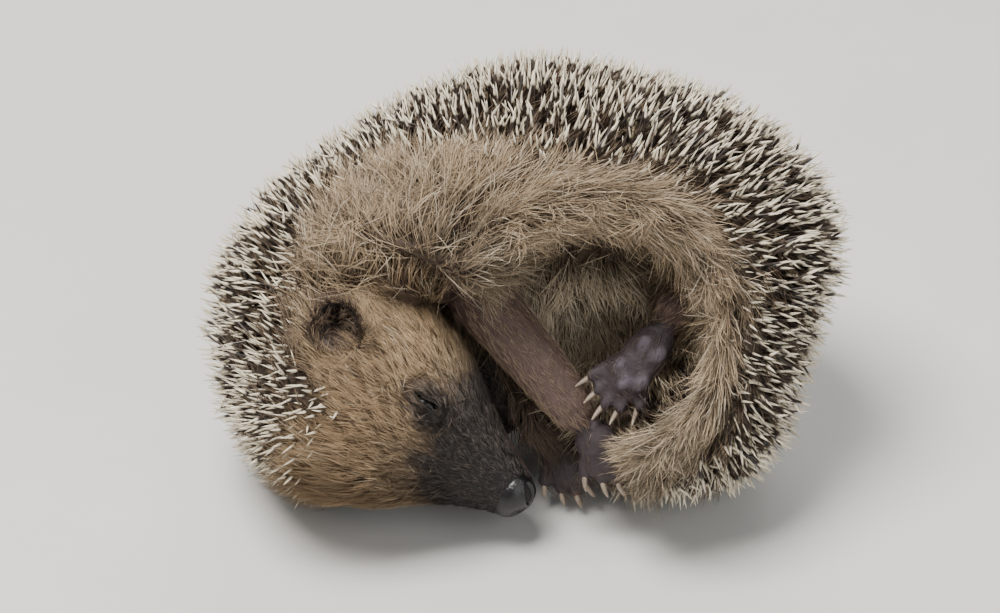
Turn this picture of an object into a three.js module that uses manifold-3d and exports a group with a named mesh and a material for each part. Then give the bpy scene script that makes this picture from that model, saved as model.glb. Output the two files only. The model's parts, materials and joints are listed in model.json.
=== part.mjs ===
import * as THREE from "three";
import { mergeVertices } from "three/addons/utils/BufferGeometryUtils.js";
import Module from "manifold-3d";

const wasm = await Module();
wasm.setup();

// A young western European hedgehog asleep in a loose curl on its right side.
// Millimetres. Every outline runs to the tips of the quills and the hair.
// The curl is shaped lying flat: X from head to rump, Y up the arch of the back, Z to the
// animal's left. The whole is then leaned back and set on the floor, with the origin on the
// floor under the middle of the animal.

const LEAN = 55;
const CENTRE = new THREE.Vector3(0.76, -2.14, 40.1);
const GAP = 0.3;

// Reach of the rolled body from its centre, every 15 degrees anticlockwise from the rump side.
const REACH = [
  61.6, 62.8, 58.6, 53.0, 48.2, 45.8, 45.0, 44.3, 44.6, 46.6, 50.6, 58.0,
  63.2, 64.8, 66.2, 61.8, 51.0, 45.5, 44.2, 45.5, 50.0, 58.6, 60.4, 57.4,
];
const LEFT_WIDTH = 37;
const RIGHT_WIDTH = 44;
const LEFT_NARROWING = 5;
const RIGHT_NARROWING = 4;

// The middle of the curl, where the belly faces, and the bowl that opens there.
const POLE = new THREE.Vector3(11.6, -11.4, 0);
const BOWL_RADIUS = 19.5;
const BOWL_FLARE = 8;
const BOWL_RIM = 31;
const BOWL_FLOOR = 4;
const CORE_RADIUS = 21;

// Seams between the lengths of the body, in degrees about the pole.
const RUMP_END = -84;
const RUMP_SEAM = -8;
const SHOULDER_SEAM = 72;
const NECK_SEAM = 122;
const HEAD_SEAM = 157;

// Head: the axis runs back from the tip of the nose. ROLL turns the crown to the left side.
const NOSE_TIP = new THREE.Vector3(0.6, -42, 6);
const MUZZLE_DIRECTION = new THREE.Vector3(0.797, -0.597, -0.09).normalize();
const ROLL = THREE.MathUtils.degToRad(40);
const HEAD_LENGTH = 62;
const SNOUT_LENGTH = 19;
const EYE_BACK = 28.5;
const EYEBALL_RADIUS = 2.9;
const SLIT_LENGTH = 8.6;

const FLESH = { color: 0x8a7458, roughness: 0.9, metalness: 0 };
const QUILLED = { color: 0x8f8371, roughness: 0.85, metalness: 0 };
const BARE_SKIN = { color: 0x6d5a58, roughness: 0.7, metalness: 0 };
const DARK_SKIN = { color: 0x1d1a1a, roughness: 0.35, metalness: 0 };
const EYE = { color: 0x0b0a0a, roughness: 0.12, metalness: 0 };

const vec = (x, y, z) => new THREE.Vector3(x, y, z);
const lerp = THREE.MathUtils.lerp;
const smooth = THREE.MathUtils.smoothstep;

// The triangle list with its faces outward, whichever way it was wound.
function turnedOutward(position, index) {
  const corner = (i) => new THREE.Vector3().fromBufferAttribute(position, index[i]);
  let volume = 0;
  for (let i = 0; i < index.length; i += 3) {
    volume += corner(i).dot(corner(i + 1).cross(corner(i + 2)));
  }
  return volume < 0 ? index.reverse() : index;
}

// Turns a closed three.js geometry into a solid.
function toSolid(geometry) {
  const bare = new THREE.BufferGeometry();
  bare.setAttribute("position", geometry.getAttribute("position").clone());
  bare.setIndex(geometry.getIndex());
  const welded = mergeVertices(bare, 1e-4);
  const index = [];
  const all = welded.getIndex().array;
  for (let i = 0; i < all.length; i += 3) {
    const [a, b, c] = [all[i], all[i + 1], all[i + 2]];
    if (a !== b && b !== c && c !== a) index.push(a, b, c);
  }
  const mesh = new wasm.Mesh({
    numProp: 3,
    vertProperties: new Float32Array(welded.getAttribute("position").array),
    triVerts: new Uint32Array(turnedOutward(welded.getAttribute("position"), index)),
  });
  return new wasm.Manifold(mesh);
}

// A sphere whose every direction is sent to a new place.
function warpedSphere(place, around, rows) {
  const geometry = new THREE.SphereGeometry(1, around, rows);
  const position = geometry.getAttribute("position");
  for (let i = 0; i < position.count; i++) {
    const point = place(position.getX(i), position.getY(i), position.getZ(i));
    position.setXYZ(i, point.x, point.y, point.z);
  }
  return toSolid(geometry);
}

// A value read from rows of [distance, value...] by smooth steps between the rows.
function readRow(rows, at) {
  if (at <= rows[0][0]) return rows[0].slice(1);
  for (let i = 1; i < rows.length; i++) {
    if (at > rows[i][0]) continue;
    const f = (at - rows[i - 1][0]) / (rows[i][0] - rows[i - 1][0]);
    return rows[i].slice(1).map((v, k) => lerp(rows[i - 1][k + 1], v, f));
  }
  return rows[rows.length - 1].slice(1);
}

// A round-ended loft along a bent line. widths(t) gives [side, top, bottom] half sizes.
function bentLoft(points, widths, { up = vec(0, 0, 1), around = 18, rows = 14, round = 0.22 } = {}) {
  const curve = new THREE.CatmullRomCurve3(points, false, "centripetal");
  const cap = (t) => {
    const end = Math.min(t, 1 - t);
    return end >= round ? 1 : Math.sqrt(Math.max(0, 1 - (1 - end / round) ** 2));
  };
  return warpedSphere((x, y, z) => {
    const t = (1 - y) / 2;
    const centre = curve.getPointAt(t);
    const along = curve.getTangentAt(t);
    const side = vec(0, 0, 0).crossVectors(along, up).normalize();
    const top = vec(0, 0, 0).crossVectors(side, along).normalize();
    const ring = Math.hypot(x, z) || 1;
    const [wide, high, low] = widths(t);
    const s = (x / ring) * wide * cap(t);
    const h = (z / ring) * (z > 0 ? high : low) * cap(t);
    return ring < 1e-6 || cap(t) === 0 ? centre : centre.addScaledVector(side, s).addScaledVector(top, h);
  }, around, rows);
}

// An ellipsoid with its own turned axes.
function ellipsoid(centre, radii, axes = [vec(1, 0, 0), vec(0, 1, 0), vec(0, 0, 1)], around = 16, rows = 12) {
  return warpedSphere((x, y, z) => centre.clone()
    .addScaledVector(axes[0], x * radii[0])
    .addScaledVector(axes[1], y * radii[1])
    .addScaledVector(axes[2], z * radii[2]), around, rows);
}

// A thin wall standing on the pole line and reaching out at an angle.
function seamWall(degrees, thickness) {
  const wall = new THREE.BoxGeometry(90, thickness, 120);
  wall.translate(45, 0, 0);
  wall.rotateZ(THREE.MathUtils.degToRad(degrees));
  wall.translate(POLE.x, POLE.y, 0);
  return toSolid(wall);
}

// The wedge of space between two angles about the pole.
function wedge(from, to) {
  const shape = new THREE.Shape();
  shape.moveTo(0, 0);
  const steps = Math.ceil((to - from) / 20);
  for (let i = 0; i <= steps; i++) {
    const angle = THREE.MathUtils.degToRad(lerp(from, to, i / steps));
    shape.lineTo(110 * Math.cos(angle), 110 * Math.sin(angle));
  }
  shape.closePath();
  const space = new THREE.ExtrudeGeometry(shape, { depth: 140, bevelEnabled: false });
  space.translate(POLE.x, POLE.y, -70);
  return toSolid(space);
}

function reachAt(angle) {
  const turn = ((angle / (2 * Math.PI)) * REACH.length + REACH.length) % REACH.length;
  const i = Math.floor(turn);
  const f = turn - i;
  const [p0, p1, p2, p3] = [-1, 0, 1, 2].map((k) => REACH[(i + k + REACH.length) % REACH.length]);
  return p1 + 0.5 * f * (p2 - p0 + f * (2 * p0 - 5 * p1 + 4 * p2 - p3 + f * (3 * (p1 - p2) + p3 - p0)));
}

// The rolled body as one mass, before its bowl and seams are cut.
function rolledBody() {
  return warpedSphere((x, y, z) => {
    const angle = Math.atan2(z, x);
    const flat = Math.hypot(x, z) ** 0.92;
    const reach = reachAt(angle) * flat;
    const px = reach * Math.cos(angle);
    const py = reach * Math.sin(angle);
    const headward = smooth((-0.8 * px - 0.6 * py) / 50, 0, 0.9);
    const width = y > 0
      ? LEFT_WIDTH - LEFT_NARROWING * headward
      : RIGHT_WIDTH - RIGHT_NARROWING * headward;
    return vec(px, py, Math.sign(y) * Math.abs(y) ** 0.92 * width);
  }, 32, 18);
}

// The bowl the belly shows in, wide at the rim and shallow towards the arch of the back.
function bellyBowl() {
  return warpedSphere((x, y, z) => {
    const flare = BOWL_FLARE * smooth(y, -0.4, 0.25);
    const wide = BOWL_RADIUS + flare;
    const depth = y > 0 ? 50 : BOWL_RIM - BOWL_FLOOR;
    return vec(POLE.x + x * wide, POLE.y + z * wide * 0.97, BOWL_RIM + y * depth);
  }, 18, 10);
}

function coreCylinder(radius) {
  const tube = new THREE.CylinderGeometry(radius, radius, 160, 20);
  tube.rotateX(Math.PI / 2);
  tube.translate(POLE.x, POLE.y, 0);
  return toSolid(tube);
}

// Head frame: p runs to the throat side, c to the animal's left.
const P_AXIS = vec(0.6, 0.8, 0);
const C_AXIS = vec(0, 0, 0).crossVectors(MUZZLE_DIRECTION, P_AXIS).normalize();
const LEFT_AXIS = P_AXIS.clone().multiplyScalar(Math.sin(ROLL)).addScaledVector(C_AXIS, Math.cos(ROLL));
const CROWN_AXIS = P_AXIS.clone().multiplyScalar(-Math.cos(ROLL)).addScaledVector(C_AXIS, Math.sin(ROLL));

function headPoint(back, p, c) {
  return NOSE_TIP.clone()
    .addScaledVector(MUZZLE_DIRECTION, -back)
    .addScaledVector(P_AXIS, p)
    .addScaledVector(C_AXIS, c);
}

function headPointFromSides(back, left, crown) {
  return NOSE_TIP.clone()
    .addScaledVector(MUZZLE_DIRECTION, -back)
    .addScaledVector(LEFT_AXIS, left)
    .addScaledVector(CROWN_AXIS, crown);
}

// Half sizes of the head by distance behind the nose: forehead side, throat side, left, right.
const HEAD_SECTIONS = [
  [0, 0.4, 0.4, 0.4, 0.4],
  [1, 4.0, 3.2, 3.4, 3.4],
  [3, 5.6, 4.4, 4.7, 4.6],
  [6, 6.9, 5.6, 6.0, 5.8],
  [11, 9.4, 8.0, 8.4, 7.8],
  [16, 12.6, 10.8, 11.2, 10.2],
  [22, 17.0, 14.4, 15.0, 13.0],
  [28, 21.2, 17.6, 18.2, 15.4],
  [36, 24.4, 21.2, 21.4, 17.6],
  [46, 25.6, 21.8, 22.8, 19.0],
  [54, 22.0, 20.0, 20.4, 17.0],
  [59, 15.0, 14.0, 13.4, 11.0],
  [62, 0.6, 0.6, 0.6, 0.6],
];

function headLoft(grow) {
  const square = 0.86;
  return warpedSphere((x, y, z) => {
    const f = (1 - y) / 2;
    const back = (HEAD_LENGTH + grow) * f ** 0.8 - grow * (1 - f);
    const [low, high, left, right] = readRow(HEAD_SECTIONS, back);
    const ring = Math.hypot(x, z);
    if (ring < 1e-6) return headPoint(back, 0, 0);
    const cos = x / ring;
    const sin = z / ring;
    const p = Math.sign(cos) * Math.abs(cos) ** square * ((x > 0 ? high : low) + grow);
    const c = Math.sign(sin) * Math.abs(sin) ** square * ((z > 0 ? left : right) + grow);
    return headPoint(back, p, c);
  }, 20, 13);
}

// The chin and lower jaw lie along the throat side of the snout.
function jaw(grow) {
  const line = [[6.5, -4.2], [13, -7.6], [21, -12.2], [30, -16.6]];
  return bentLoft(
    line.map(([back, crown]) => headPointFromSides(back, 0, crown)),
    (t) => [lerp(2.6, 6.6, t) + grow, 2.3 + 1.4 * t + grow, 2.0 + 1.0 * t + grow],
    { up: CROWN_AXIS, around: 10, rows: 8 },
  );
}

// The slab of space that holds the snout, forward of the cheeks.
function snoutSpace() {
  const slab = new THREE.BoxGeometry(80, 80, 60);
  slab.translate(0, 0, 30);
  const basis = new THREE.Matrix4().makeBasis(P_AXIS, C_AXIS, MUZZLE_DIRECTION.clone());
  slab.applyMatrix4(basis);
  const start = headPoint(SNOUT_LENGTH, 0, 0);
  slab.translate(start.x, start.y, start.z);
  return toSolid(slab);
}

// The bare nose pad with a comma-shaped nostril on each side.
function nosePad(grow) {
  const axes = [LEFT_AXIS, CROWN_AXIS, MUZZLE_DIRECTION];
  let pad = ellipsoid(headPointFromSides(1.4, 0, 0.4), [4.3 + grow, 3.7 + grow, 3.5 + grow], axes, 12, 6);
  if (grow > 0) return pad;
  for (const side of [-1, 1]) {
    const nostril = headPointFromSides(-0.6, side * 3.1, 0.1);
    pad = pad.subtract(ellipsoid(nostril, [1.5, 0.9, 1.7], axes, 6, 4));
  }
  return pad;
}

// Closed lids: an eyeball low in its socket behind a narrow slit that follows the axis.
function eyeCentre(side) {
  return side > 0
    ? headPoint(EYE_BACK, 3.4, 14.6)
    : headPoint(EYE_BACK, -15.0, -6.6);
}

function eyeOut(side) {
  const [p, c] = side > 0 ? [0.12, 0.99] : [-0.86, -0.5];
  return P_AXIS.clone().multiplyScalar(p).addScaledVector(C_AXIS, c).normalize();
}

function eyeSlit(side) {
  const out = eyeOut(side);
  const across = vec(0, 0, 0).crossVectors(out, MUZZLE_DIRECTION).normalize();
  const centre = eyeCentre(side).addScaledVector(out, EYEBALL_RADIUS);
  return ellipsoid(centre, [SLIT_LENGTH / 2, 0.9, 4.2], [MUZZLE_DIRECTION, across, out], 8, 6);
}

// A low rounded ear: a shallow cup lying against the head, open away from its far edge.
function ear(centre, out, rise, grow) {
  const along = vec(0, 0, 0).crossVectors(rise, out).normalize();
  const up = vec(0, 0, 0).crossVectors(out, along).normalize();
  const tilt = up.clone().multiplyScalar(0.9).addScaledVector(out, 0.42).normalize();
  const face = vec(0, 0, 0).crossVectors(along, tilt).normalize();
  const axes = [along, tilt, face];
  const shell = ellipsoid(centre, [7.4 + grow, 6.8 + grow, 3.4 + grow], axes, 12, 7);
  if (grow > 0) return shell;
  const front = face.dot(out) > 0 ? 1 : -1;
  const dish = centre.clone().addScaledVector(face, front * 2.2).addScaledVector(tilt, -0.9);
  return shell.subtract(ellipsoid(dish, [6.1, 5.6, 3.2], axes, 10, 5));
}

// A foot: a padded sole and five toes, each ending in its claw.
// forward, side and face are its own axes; face is the way the sole looks.
function footFrame(heel, tip, face) {
  const forward = tip.clone().sub(heel).normalize();
  const side = vec(0, 0, 0).crossVectors(face, forward).normalize();
  return { heel, forward, side, face: vec(0, 0, 0).crossVectors(forward, side).normalize() };
}

function footPoint(frame, along, across, out) {
  return frame.heel.clone()
    .addScaledVector(frame.forward, along)
    .addScaledVector(frame.side, across)
    .addScaledVector(frame.face, out);
}

function toes(sole) {
  return [-2, -1, 0, 1, 2].map((k) => ({
    from: [sole * 0.82 - Math.abs(k) * 1.1, k * 1.7],
    to: [sole + 4.4 - Math.abs(k) * 1.3 - (k === 2 ? 1.2 : 0), k * 2.75],
  }));
}

function claw(frame, toe, length, grow) {
  const reach = vec(toe.to[0] - toe.from[0], toe.to[1] - toe.from[1], 0).normalize();
  const at = (d, out) => footPoint(frame, toe.to[0] + reach.x * d, toe.to[1] + reach.y * d, out);
  const line = [at(-0.6 - grow, -0.5), at(length * 0.5, -0.35), at(length + grow, 0.5)];
  return bentLoft(line, (t) => Array(3).fill(lerp(0.85, 0.32, t) + grow),
    { up: frame.face, around: 5, rows: 3, round: 0.12 });
}

function foot(frame, sole, wide, thick, clawLength, grow) {
  const { forward, side, face } = frame;
  const middle = footPoint(frame, sole * 0.5, 0, 0);
  let whole = ellipsoid(middle, [sole * 0.58 + grow, wide + grow, thick + grow], [forward, side, face], 8, 6);
  const ball = footPoint(frame, sole * 0.84, 0, 0.2);
  whole = whole.add(ellipsoid(ball, [3.4 + grow, wide * 1.08 + grow, thick * 0.9 + grow],
    [forward, side, face], 7, 4));
  for (const toe of toes(sole)) {
    const from = footPoint(frame, ...toe.from, 0);
    const to = footPoint(frame, ...toe.to, -0.2);
    whole = whole.add(bentLoft([from, to], () => [1.45 + grow, 1.4 + grow, 1.5 + grow],
      { up: face, around: 5, rows: 4, round: 0.3 }));
    whole = whole.add(claw(frame, toe, clawLength, grow));
  }
  return whole;
}

const group = new THREE.Group();
group.name = "hedgehog";

const lean = new THREE.Matrix4()
  .makeTranslation(CENTRE)
  .multiply(new THREE.Matrix4().makeRotationX(THREE.MathUtils.degToRad(LEAN)));

const below = new THREE.BoxGeometry(400, 400, 100);
below.translate(0, 0, -50);
const underFloor = toSolid(below);

const finished = [];

// Stands a solid on the floor and keeps it, cut clear of its neighbours.
function keep(name, solid, material, cutters = []) {
  let body = solid;
  for (const cutter of cutters) body = body.subtract(cutter);
  body = body.transform(lean.elements).subtract(underFloor);
  finished.push({ name, body, material });
}

// Feet and legs, tucked into the bowl. Larger masses are hollowed by a plain mitt round each foot.
const limbs = [];
const hollows = [];

function mitt(frame, sole, wide, thick) {
  const { forward, side, face } = frame;
  return ellipsoid(footPoint(frame, (sole + 8) / 2, 0, 0), [(sole + 12) / 2, wide + 5.4, thick + 1.3],
    [forward, side, face], 8, 6);
}

function addFoot(name, frame, sole, wide, thick, clawLength) {
  keep(name, foot(frame, sole, wide, thick, clawLength, 0), BARE_SKIN, limbs);
  limbs.push(foot(frame, sole, wide, thick, clawLength, GAP));
  hollows.push(mitt(frame, sole, wide, thick));
}

function addLeg(name, line, radii) {
  const make = (grow) => bentLoft(line, (t) => {
    const r = readRow(radii, t)[0] + grow;
    return [r, r * 0.92, r * 0.92];
  }, { around: 9, rows: 7, round: 0.2 });
  keep(name, make(0), BARE_SKIN, limbs);
  limbs.push(make(GAP));
  hollows.push(make(GAP));
}

const hindLeft = footFrame(vec(25.5, -9.0, 14.5), vec(14.2, -22.6, 15.5), vec(0.15, 0.1, 1));
addFoot("hindfoot_left", hindLeft, 15, 4.4, 2.9, 3.6);
const foreLeft = footFrame(vec(10.6, -26.6, 12), vec(16.4, -37.6, 9.5), vec(0.3, 0.1, -1));
addFoot("forepaw_left", foreLeft, 9.5, 4.3, 2.8, 3.4);
const hindRight = footFrame(vec(34, -16.5, 4.5), vec(20.6, -26.5, 7.5), vec(0.1, 0.3, 1));
addFoot("hindfoot_right", hindRight, 14.5, 4.3, 2.9, 3.4);
const foreRight = footFrame(vec(4.6, -29.5, -0.5), vec(8.6, -39.6, -3.0), vec(0.3, 0.1, -1));
addFoot("forepaw_right", foreRight, 9, 4.1, 2.7, 3.0);

addLeg("foreleg_left", [vec(-14, 2, 11), vec(-6.5, -6.2, 14), vec(2.2, -16.6, 13.4), vec(10.8, -27.4, 12)],
  [[0, 6.4], [0.35, 5.9], [0.7, 5.2], [1, 4.5]]);
addLeg("foreleg_right", [vec(-9, -3, -4), vec(-4.4, -11, -2), vec(0.6, -20.8, -0.6), vec(4.8, -30, -0.6)],
  [[0, 6.2], [0.35, 5.6], [0.7, 4.9], [1, 4.2]]);
addLeg("hindleg_left", [vec(24.6, -8.2, 14), vec(29, -3.4, 11.4), vec(33.6, 2.6, 6.5), vec(36, 8, 1)],
  [[0, 4.3], [0.4, 5.6], [1, 7.2]]);
addLeg("hindleg_right", [vec(33.2, -15.8, 4.0), vec(37, -13, -1), vec(40, -9, -7), vec(41, -4, -13)],
  [[0, 4.3], [0.4, 5.6], [1, 7.2]]);

// Head.
const body = rolledBody();
const bowl = bellyBowl();
const core = coreCylinder(CORE_RADIUS);
const coreRoom = coreCylinder(CORE_RADIUS + GAP);
const crownRegion = ellipsoid(vec(-49, -12, -1), [27, 33, 39], undefined, 14, 10);

const face = headLoft(0);
const faceRoom = headLoft(GAP);
const crown = body.intersect(crownRegion).intersect(wedge(HEAD_SEAM, RUMP_END + 360));
const snoutRoom = snoutSpace();
const padRoom = nosePad(GAP);
const jawRoom = jaw(GAP);
const eyeRooms = [];
for (const [side, word] of [[1, "left"], [-1, "right"]]) {
  keep(`eye_${word}`, ellipsoid(eyeCentre(side), Array(3).fill(EYEBALL_RADIUS), undefined, 8, 6), EYE);
  eyeRooms.push(ellipsoid(eyeCentre(side), Array(3).fill(EYEBALL_RADIUS + GAP), undefined, 8, 6));
  eyeRooms.push(eyeSlit(side));
}

const leftEar = [vec(-35.6, -9.4, 30.2), vec(-0.25, -0.1, 1).normalize(), vec(-0.1, -1, 0)];
const rightEar = [vec(-45, -19.6, -24.2), vec(-0.4, -0.3, -1).normalize(), vec(-0.7, 0.4, 0.2)];
keep("ear_left", ear(...leftEar, 0), BARE_SKIN);
keep("ear_right", ear(...rightEar, 0), BARE_SKIN);
const earRooms = [ear(...leftEar, GAP), ear(...rightEar, GAP)];

keep("nose", nosePad(0), DARK_SKIN);
keep("jaw", jaw(0), FLESH, [padRoom, ...hollows]);
keep("snout", face.intersect(snoutRoom), FLESH, [padRoom, jawRoom]);
const snoutGap = snoutRoom.translate(MUZZLE_DIRECTION.clone().multiplyScalar(-GAP).toArray());
keep("head", crown.add(face.subtract(snoutGap)), FLESH,
  [coreRoom, jawRoom, ...eyeRooms, ...earRooms, ...hollows]);
const crownRoom = crownRegion.intersect(wedge(HEAD_SEAM - 0.6, RUMP_END + 360));

// Body, from the neck round to the tail.
const ring = body.subtract(coreRoom).subtract(bowl);
const throat = ellipsoid(vec(-11, -10.5, -9.5), [17.5, 22, 19.5], undefined, 14, 10);
keep("neck", ring.intersect(wedge(NECK_SEAM, HEAD_SEAM)).add(throat.intersect(body)), QUILLED,
  [faceRoom, crownRoom, coreRoom, jawRoom, seamWall(NECK_SEAM, 2 * GAP),
    wedge(NECK_SEAM - 90, NECK_SEAM), ...hollows]);
keep("shoulders", ring.intersect(wedge(SHOULDER_SEAM, NECK_SEAM)), QUILLED,
  [faceRoom, seamWall(NECK_SEAM, 2 * GAP), ...hollows]);
keep("trunk", ring.intersect(wedge(RUMP_SEAM, SHOULDER_SEAM)), QUILLED,
  [seamWall(SHOULDER_SEAM, 2 * GAP), ...hollows]);
const rumpRound = ellipsoid(vec(40, -13, -2), [30, 36, 46], undefined, 20, 12);
const tailLine = [vec(25, -35.5, -7), vec(20, -38, -7.5), vec(13.5, -38.4, -8)];
const tail = (grow) => bentLoft(tailLine, (t) => Array(3).fill(lerp(3.2, 1.2, t) + grow),
  { around: 8, rows: 6 });
keep("tail", tail(0), FLESH, hollows);
keep("rump", ring.intersect(wedge(RUMP_END, RUMP_SEAM)).intersect(rumpRound), QUILLED,
  [seamWall(RUMP_SEAM, 2 * GAP), tail(GAP), ...hollows]);
const bellyRound = ellipsoid(vec(12.5, -9.5, -12), [26, 26, 27.5], undefined, 14, 10);
keep("belly", body.intersect(core).intersect(bellyRound), FLESH,
  [bowl, faceRoom, jawRoom, padRoom, tail(GAP), ...hollows]);

for (const { name, body: solid, material } of finished) {
  const mesh = solid.getMesh();
  const geometry = new THREE.BufferGeometry();
  geometry.setAttribute("position", new THREE.BufferAttribute(new Float32Array(mesh.vertProperties), 3));
  geometry.setIndex(new THREE.BufferAttribute(new Uint32Array(mesh.triVerts), 1));
  geometry.computeVertexNormals();
  const piece = new THREE.Mesh(geometry, new THREE.MeshStandardMaterial(material));
  piece.name = name;
  group.add(piece);
}

export default group;
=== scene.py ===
import json
import math

import bmesh
import bpy
import numpy as np
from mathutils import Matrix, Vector
from mathutils.bvhtree import BVHTree
from mathutils.kdtree import KDTree

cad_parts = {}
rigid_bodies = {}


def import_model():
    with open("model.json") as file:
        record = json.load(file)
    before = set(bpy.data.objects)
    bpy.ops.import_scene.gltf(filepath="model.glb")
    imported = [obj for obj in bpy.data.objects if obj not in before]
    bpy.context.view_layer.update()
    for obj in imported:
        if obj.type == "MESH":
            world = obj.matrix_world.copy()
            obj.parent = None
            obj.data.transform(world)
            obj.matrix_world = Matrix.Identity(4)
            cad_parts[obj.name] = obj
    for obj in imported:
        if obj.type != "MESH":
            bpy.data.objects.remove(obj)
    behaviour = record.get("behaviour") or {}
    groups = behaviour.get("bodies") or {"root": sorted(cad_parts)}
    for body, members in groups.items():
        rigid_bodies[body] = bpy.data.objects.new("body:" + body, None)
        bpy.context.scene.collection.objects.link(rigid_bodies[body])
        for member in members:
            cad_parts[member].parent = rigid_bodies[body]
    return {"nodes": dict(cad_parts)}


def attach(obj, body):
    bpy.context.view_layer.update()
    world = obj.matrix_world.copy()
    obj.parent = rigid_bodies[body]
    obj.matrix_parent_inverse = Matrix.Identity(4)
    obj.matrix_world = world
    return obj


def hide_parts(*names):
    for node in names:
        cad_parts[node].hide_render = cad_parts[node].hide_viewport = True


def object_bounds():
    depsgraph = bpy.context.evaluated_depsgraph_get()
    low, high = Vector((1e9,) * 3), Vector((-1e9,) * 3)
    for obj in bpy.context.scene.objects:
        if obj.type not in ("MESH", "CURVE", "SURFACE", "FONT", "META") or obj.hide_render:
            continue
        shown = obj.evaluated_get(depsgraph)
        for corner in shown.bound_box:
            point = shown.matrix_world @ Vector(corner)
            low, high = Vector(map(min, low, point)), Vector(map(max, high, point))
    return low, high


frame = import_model()
corners_at_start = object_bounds()

MM = 0.001
RNG = np.random.default_rng(7)

# The lying frame: X from head to rump, Y up the arch of the back, Z to the left flank.
# Shapes are worked out in it, in millimetres, and then leaned back on the floor.
CENTRE = np.array([0.76, -2.14, 40.1])
LEAN = math.radians(55)
BASIS = np.array([[1, 0, 0], [0, math.cos(LEAN), math.sin(LEAN)], [0, -math.sin(LEAN), math.cos(LEAN)]])


def to_world(p):
    return (np.asarray(p, float) @ BASIS + CENTRE) * MM


def to_lying(w):
    return (np.asarray(w, float) / MM - CENTRE) @ BASIS.T


def unit(v):
    v = np.asarray(v, float)
    return v / np.maximum(np.linalg.norm(v, axis=-1, keepdims=True), 1e-9)


def step(low, high, x):
    t = np.clip((np.asarray(x, float) - low) / (high - low), 0, 1)
    return t * t * (3 - 2 * t)


def mix(a, b, t):
    return a + (b - a) * t


def bell(x, width=1.0):
    return np.exp(-(x / width) ** 2)


# Landmarks
POLE = np.array([11.6, -11.4])
NOSE_TIP = np.array([0.6, -42.0, 6.0])
MUZZLE = unit([0.797, -0.597, -0.09])
P_AXIS = np.array([0.6, 0.8, 0.0])
C_AXIS = unit(np.cross(MUZZLE, P_AXIS))
ROLL = math.radians(40)
LEFT = P_AXIS * math.sin(ROLL) + C_AXIS * math.cos(ROLL)
CROWN = -P_AXIS * math.cos(ROLL) + C_AXIS * math.sin(ROLL)
EYE_BACK = 28.5
EYE_RADIUS = 2.9
SLIT_REACH = 4.6
HEAD_LENGTH = 60
MOUTH_END = 20.5
# Spots where the flank hair is darkened as painted shade (the fold at the neck, low in the hollow of the
# curl), and how dark it gets
NECK_FOLD = np.array([-13.0, 3.0])
LOW_LIP = np.array([18.0, -30.0])
FOLD_SHADE = 0.62
CHEST = np.array([-2.0, -27.0, -5.0])
EAR_HAIRS = 1100
EAR_HALF_WIDTH, EAR_ABOVE, EAR_BELOW = 4.9, 5.6, 5.0

# Depth of the coat over the skin
FLANK_DEPTH, QUILL_DEPTH, BOWL_DEPTH = 5.2, 8.6, 2.2
FACE_DEPTH, NAPE_DEPTH = 2.6, 4.6

# Sizes of the meshes and of a tuft's patch on the unwrap
CORE_VOXEL, SKIN_VOXEL = 1.0 * MM, 0.5 * MM
SKIN_KEPT = 0.34
SKIN_CLEAR_OF_FLOOR = 0.3 * MM
QUILL_SPACING = 1.1
HAIR_PAST_BOX, QUILL_PAST_BOX = 0.5, 0.8
NEIGHBOURS = [(x, y, z) for x in (-1, 0, 1) for y in (-1, 0, 1) for z in (-1, 0, 1)]
TUFT_PATCH, QUILL_PATCH = 0.003, 0.006
PATCH_MARGIN = 0.006


def head_point(back, p, c):
    return NOSE_TIP - MUZZLE * back + P_AXIS * p + C_AXIS * c


def head_coords(q):
    rel = q - NOSE_TIP
    return -(rel @ MUZZLE), rel @ P_AXIS, rel @ C_AXIS


# How far the short-haired flank and face reach from EDGE_MIDDLE before the quills begin,
# every 15 degrees anticlockwise from the rump side.
EDGE_MIDDLE = np.array([-3.0, -6.0])
FUR_EDGE = np.array([51, 51, 47.5, 42, 37.5, 34, 32.7, 34, 38, 43.5, 48.5, 49.5,
                     47.5, 44, 46.5, 75, 90, 90, 90, 90, 59, 54, 56, 52])


def fur_margin(q, shrink=0.8):
    """Millimetres inside the edge of the quills, negative among the quills. The skin lies
    deeper than the coat's outside by the shrinking."""
    rel = q[:, :2] - EDGE_MIDDLE
    turn = np.degrees(np.arctan2(rel[:, 1], rel[:, 0])) % 360
    edge = np.interp(turn, np.arange(25) * 15.0, np.append(FUR_EDGE, FUR_EDGE[0]))
    edge = edge * mix(0.62, 1.0, step(-22, 6, q[:, 2])) * shrink
    return edge - np.hypot(rel[:, 0], rel[:, 1])


def flat_distance(q, spot):
    """Distance from a spot, seen along the Z of the lying frame."""
    return np.hypot(q[:, 0] - spot[0], q[:, 1] - spot[1])


def round_pole(q):
    """At each point, the way out from the pole of the curl and the way round it to the tail."""
    out = unit(q[:, :2] - POLE)
    flat = np.zeros((len(q), 1))
    return np.hstack([out, flat]), np.hstack([out[:, 1:], -out[:, :1], flat])


def face_weight(q):
    back, p, c = head_coords(q)
    d = np.hypot((back - 22) / 29, (p + 1) / 24)
    return step(1.4, 0.85, d) * step(-34, -22, c)


def bowl_weight(q):
    return step(26, 20, flat_distance(q, POLE)) * step(-14, -4, q[:, 2])


# Closed shapes from functions
def sphere_grid(around, rows):
    th = np.linspace(0, math.pi, rows + 1)[1:-1]
    ph = np.arange(around) * 2 * math.pi / around
    ring = np.stack([np.outer(np.sin(th), np.cos(ph)), np.outer(np.cos(th), np.ones(around)),
                     np.outer(np.sin(th), np.sin(ph))], -1).reshape(-1, 3)
    pts = np.vstack([[0, 1, 0], ring, [0, -1, 0]])
    faces = []
    for j in range(around):
        k = (j + 1) % around
        faces.append((0, 1 + k, 1 + j))
        for i in range(rows - 2):
            a = 1 + i * around
            faces.append((a + j, a + k, a + around + k, a + around + j))
        last = 1 + (rows - 2) * around
        faces.append((last + j, last + k, len(pts) - 1))
    return pts, faces


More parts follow.
